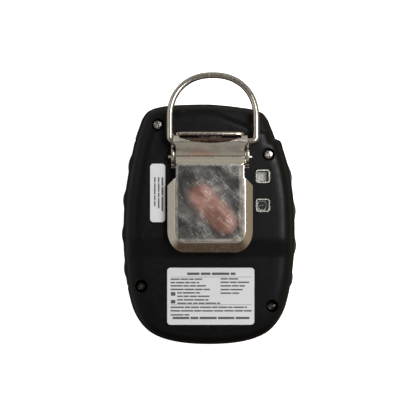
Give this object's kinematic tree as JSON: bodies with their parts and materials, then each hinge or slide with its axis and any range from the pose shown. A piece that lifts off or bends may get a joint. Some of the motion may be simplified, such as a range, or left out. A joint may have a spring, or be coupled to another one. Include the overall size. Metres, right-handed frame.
{
  "type": "portable gas detector",
  "caption": "Hand-held gas detector lying on its display, with a sprung steel belt clip and a swinging D-shaped lanyard ring on its back.",
  "frame": {"origin": "on the flat front bezel, between the display and the key; the detector lies on this face", "axes": "+Z out of the back, towards the belt clip; +Y towards the lanyard ring; +X to the right as the back is seen"},
  "size_m": [0.0617, 0.0956, 0.0341],
  "materials": {
    "case_plastic": "black fine-textured moulded plastic, satin",
    "grip_rubber": "black soft overmoulded rubber",
    "seal_rubber": "black silicone",
    "key_rubber": "grey silicone key",
    "clip_nickel": "bright nickel-plated spring steel with fine handling scratches",
    "fastener_steel": "zinc-plated steel",
    "contact_nickel": "nickel-plated spring steel",
    "brass": "plain brass",
    "label": "pale grey satin label stock with dark print bars",
    "display_glass": "clear polished window",
    "port_glass": "clear polished window",
    "lcd": "grey-green reflective display",
    "alarm_lens": "translucent red",
    "led": "milky epoxy",
    "component": "black component plastic",
    "board": "green solder mask",
    "cap_plastic": "dark grey moulded plastic",
    "filter": "white porous membrane",
    "sensor_plastic": "off-white sensor housing",
    "cell_sleeve": "plain blue shrink sleeve"
  },
  "bodies": {
    "case": {"front_cover": "case_plastic", "rear_cover": "case_plastic", "case_seal": "seal_rubber", "grip_left": "grip_rubber", "grip_right": "grip_rubber", "case_screw_1": "fastener_steel", "case_screw_2": "fastener_steel", "case_screw_3": "fastener_steel", "case_screw_4": "fastener_steel", "threaded_insert_1": "brass", "threaded_insert_2": "brass", "threaded_insert_3": "brass", "threaded_insert_4": "brass", "display_window": "display_glass", "display_module": "lcd", "alarm_lens": "alarm_lens", "alarm_led_left": "led", "alarm_led_right": "led", "key_switch": "component", "buzzer": "component", "vibration_motor": "fastener_steel", "main_board": "board", "sensor_board": "board", "port_board": "board", "sensor_cap": "cap_plastic", "dust_filter": "filter", "sensor_seal": "seal_rubber", "gas_sensor": "sensor_plastic", "battery_cell": "cell_sleeve", "battery_contact_negative": "contact_nickel", "battery_contact_positive": "contact_nickel", "upper_port_window": "port_glass", "lower_port_window": "port_glass", "ir_emitter": "led", "ir_receiver": "component", "rear_label": "label", "side_label": "label", "clip_base": "clip_nickel", "clip_screw_1": "fastener_steel", "clip_screw_2": "fastener_steel", "clip_pin": "fastener_steel", "clip_spring": "fastener_steel"},
    "lever": {"clip_lever": "clip_nickel"},
    "ring": {"lanyard_ring": "clip_nickel"},
    "key": {"mode_key": "key_rubber"}
  },
  "joints": [
    {"name": "clip_open", "type": "hinge", "parent": "case", "child": "lever", "pos_m": [0, 0.02325, 0.0297], "axis": [-1, 0, 0], "range_deg": [0, 10], "stiffness_Nm_per_rad": 0.05, "springref_deg": -20.05, "deforming": ["clip_spring"]},
    {"name": "ring_swing", "type": "hinge", "parent": "lever", "child": "ring", "pos_m": [0, 0.02865, 0.032], "axis": [1, 0, 0], "range_deg": [0, 175]},
    {"name": "key_press", "type": "slide", "parent": "case", "child": "key", "axis": [0, 0, 1], "range_m": [0, 0.0006], "stiffness_N_per_m": 60, "springref_m": -0.001}
  ]
}
